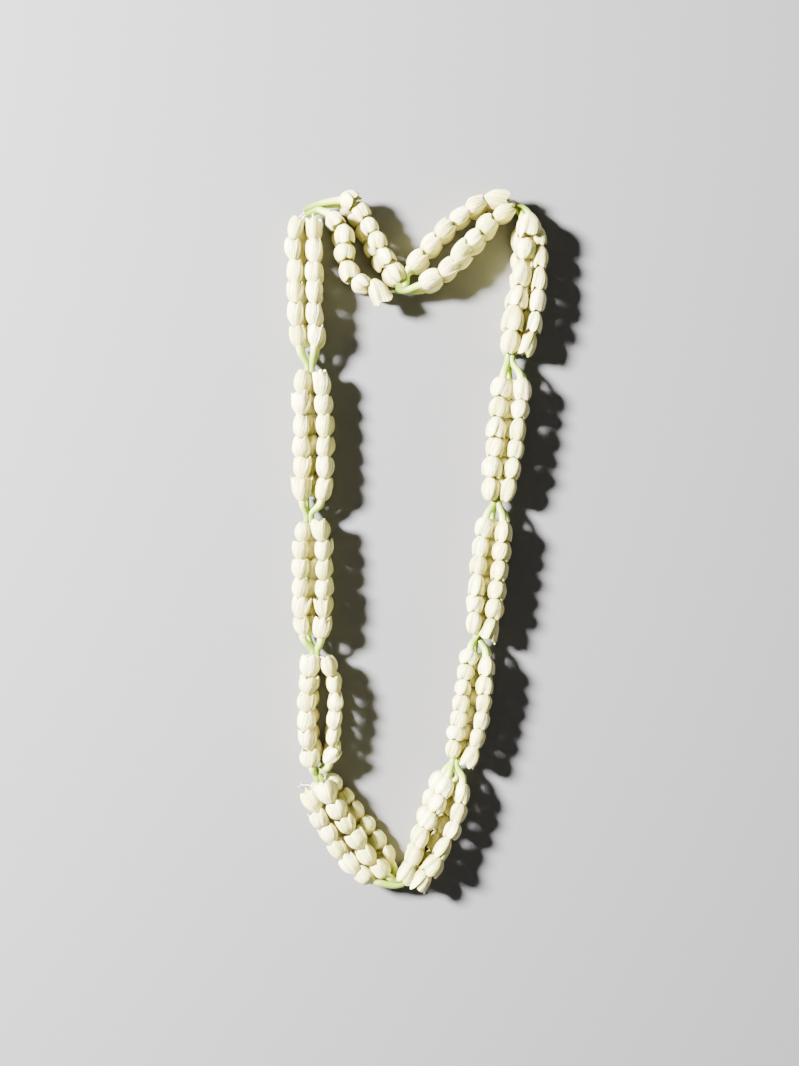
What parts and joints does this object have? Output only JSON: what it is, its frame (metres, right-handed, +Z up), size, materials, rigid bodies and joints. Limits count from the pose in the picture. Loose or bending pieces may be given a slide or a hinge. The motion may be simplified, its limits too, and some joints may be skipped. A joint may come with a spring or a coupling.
{
  "type": "flower lei",
  "caption": "Closed loop of furled white jasmine buds threaded nose to tail in short strands, drawn together at green corolla tubes, worn round the neck or hung.",
  "frame": {"origin": "on the surface the lei lies on, under the middle of its bounding box", "axes": "+Z up from the surface, +Y along the loop towards the end with the dip in it, +X to the right of the loop seen from above"},
  "size_m": [0.146, 0.3844, 0.0187],
  "materials": {
    "jasmine_buds": "fresh jasmine petals, creamy white with fine lengthwise veins, satin, greener at the base",
    "corolla_tubes": "fresh flower tube, pale green to yellow green, soft satin",
    "thread": "off-white cotton thread, matt"
  },
  "bodies": {
    "root": {"left_1_outer_upper_buds": "jasmine_buds", "left_1_inner_upper_buds": "jasmine_buds", "left_1_outer_lower_buds": "jasmine_buds", "left_1_inner_lower_buds": "jasmine_buds", "left_1_tubes": "corolla_tubes", "left_2_outer_upper_buds": "jasmine_buds", "left_2_inner_buds": "jasmine_buds", "left_2_outer_lower_buds": "jasmine_buds", "left_2_tubes": "corolla_tubes", "left_3_outer_upper_buds": "jasmine_buds", "left_3_inner_upper_buds": "jasmine_buds", "left_3_outer_lower_buds": "jasmine_buds", "left_3_inner_lower_buds": "jasmine_buds", "left_3_tubes": "corolla_tubes", "left_4_outer_upper_buds": "jasmine_buds", "left_4_inner_upper_buds": "jasmine_buds", "left_4_outer_lower_buds": "jasmine_buds", "left_4_inner_lower_buds": "jasmine_buds", "left_4_tubes": "corolla_tubes", "left_5_outer_upper_buds": "jasmine_buds", "left_5_inner_upper_buds": "jasmine_buds", "left_5_outer_lower_buds": "jasmine_buds", "left_5_inner_lower_buds": "jasmine_buds", "left_5_tubes": "corolla_tubes", "right_5_outer_upper_buds": "jasmine_buds", "right_5_inner_upper_buds": "jasmine_buds", "right_5_outer_lower_buds": "jasmine_buds", "right_5_inner_lower_buds": "jasmine_buds", "right_5_tubes": "corolla_tubes", "right_4_outer_upper_buds": "jasmine_buds", "right_4_inner_upper_buds": "jasmine_buds", "right_4_outer_lower_buds": "jasmine_buds", "right_4_inner_lower_buds": "jasmine_buds", "right_4_tubes": "corolla_tubes", "right_3_outer_upper_buds": "jasmine_buds", "right_3_inner_upper_buds": "jasmine_buds", "right_3_outer_lower_buds": "jasmine_buds", "right_3_inner_lower_buds": "jasmine_buds", "right_3_tubes": "corolla_tubes", "right_2_outer_upper_buds": "jasmine_buds", "right_2_inner_upper_buds": "jasmine_buds", "right_2_outer_lower_buds": "jasmine_buds", "right_2_inner_lower_buds": "jasmine_buds", "right_2_tubes": "corolla_tubes", "right_1_outer_upper_buds": "jasmine_buds", "right_1_inner_upper_buds": "jasmine_buds", "right_1_outer_lower_buds": "jasmine_buds", "right_1_inner_lower_buds": "jasmine_buds", "right_1_tubes": "corolla_tubes", "top_2_outer_upper_buds": "jasmine_buds", "top_2_inner_upper_buds": "jasmine_buds", "top_2_outer_lower_buds": "jasmine_buds", "top_2_inner_lower_buds": "jasmine_buds", "top_2_tubes": "corolla_tubes", "top_1_outer_upper_buds": "jasmine_buds", "top_1_inner_upper_buds": "jasmine_buds", "top_1_outer_lower_buds": "jasmine_buds", "top_1_inner_lower_buds": "jasmine_buds", "top_1_tubes": "corolla_tubes", "thread": "thread"}
  },
  "joints": []
}
